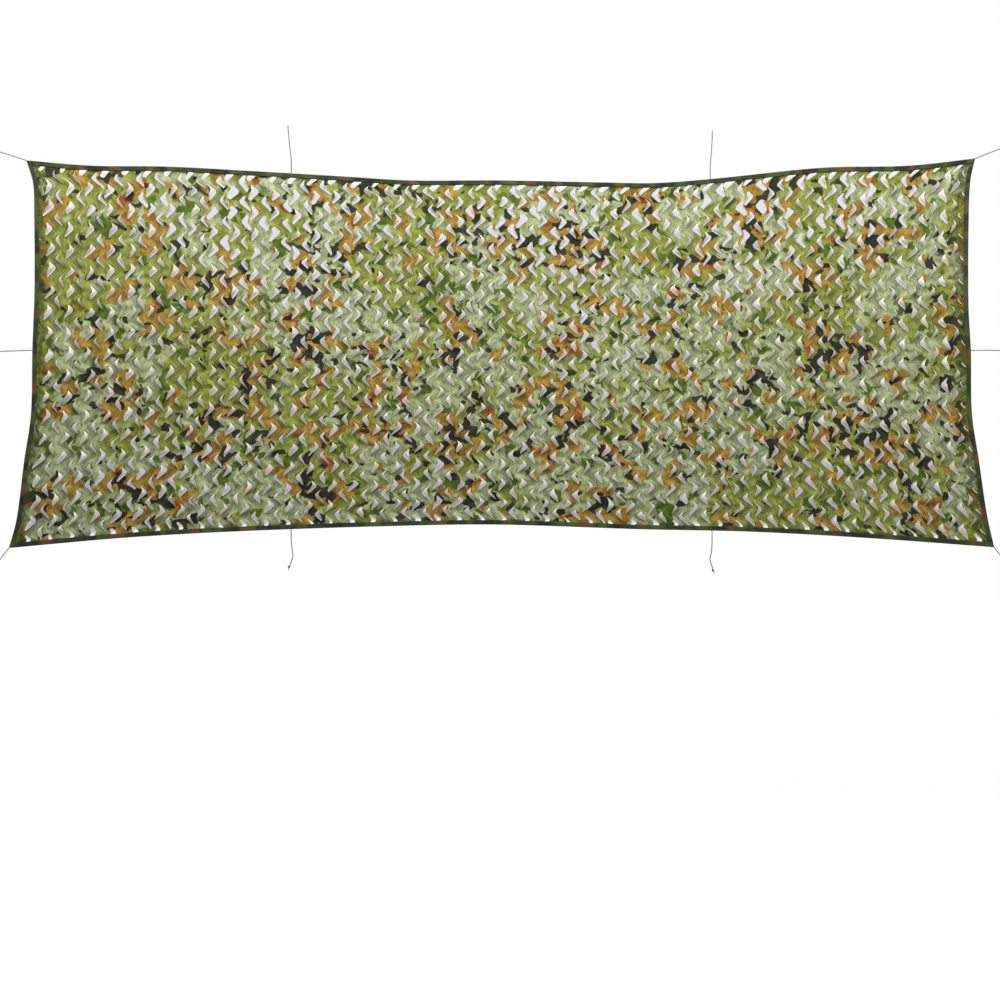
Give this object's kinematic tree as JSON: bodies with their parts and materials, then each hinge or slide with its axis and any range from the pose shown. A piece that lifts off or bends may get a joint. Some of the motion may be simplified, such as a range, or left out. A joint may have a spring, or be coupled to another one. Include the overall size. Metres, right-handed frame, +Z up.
{
  "type": "camouflage net",
  "caption": "Leaf-cut camouflage net with a bound edge, strung upright by tie cords at its corners, sides, top and bottom.",
  "frame": {"origin": "middle of the net's top edge, on the binding's fold", "axes": "+X along the net to its right-hand end as the viewer sees it, -Y towards the viewer, +Z up; the strung net lies in the XZ plane"},
  "size_m": [4.3262, 0.0417, 1.8756],
  "materials": {
    "leaf_cloth": "matt printed polyester cloth in leaf green, sage, ochre and near-black patches, cut into curling leaves",
    "binding_tape": "matt woven tape in dark green, olive, brown and black patches",
    "tie_cord": "matt dark grey braided cord"
  },
  "bodies": {
    "root": {"net_sheet": "leaf_cloth", "binding_top": "binding_tape", "binding_bottom": "binding_tape", "binding_left": "binding_tape", "binding_right": "binding_tape", "tie_top_left_corner": "tie_cord", "tie_top_right_corner": "tie_cord", "tie_bottom_left_corner": "tie_cord", "tie_bottom_right_corner": "tie_cord", "tie_left_side": "tie_cord", "tie_right_side": "tie_cord", "tie_top_left": "tie_cord", "tie_top_right": "tie_cord", "tie_bottom_left": "tie_cord", "tie_bottom_right": "tie_cord", "knot_top_left_corner": "tie_cord", "knot_top_right_corner": "tie_cord", "knot_bottom_left_corner": "tie_cord", "knot_bottom_right_corner": "tie_cord", "knot_left_side": "tie_cord", "knot_right_side": "tie_cord", "knot_bottom_left": "tie_cord", "knot_bottom_right": "tie_cord", "eye_top_left_corner": "tie_cord", "eye_top_right_corner": "tie_cord", "eye_bottom_left_corner": "tie_cord", "eye_bottom_right_corner": "tie_cord", "eye_left_side": "tie_cord", "eye_right_side": "tie_cord"}
  },
  "joints": []
}
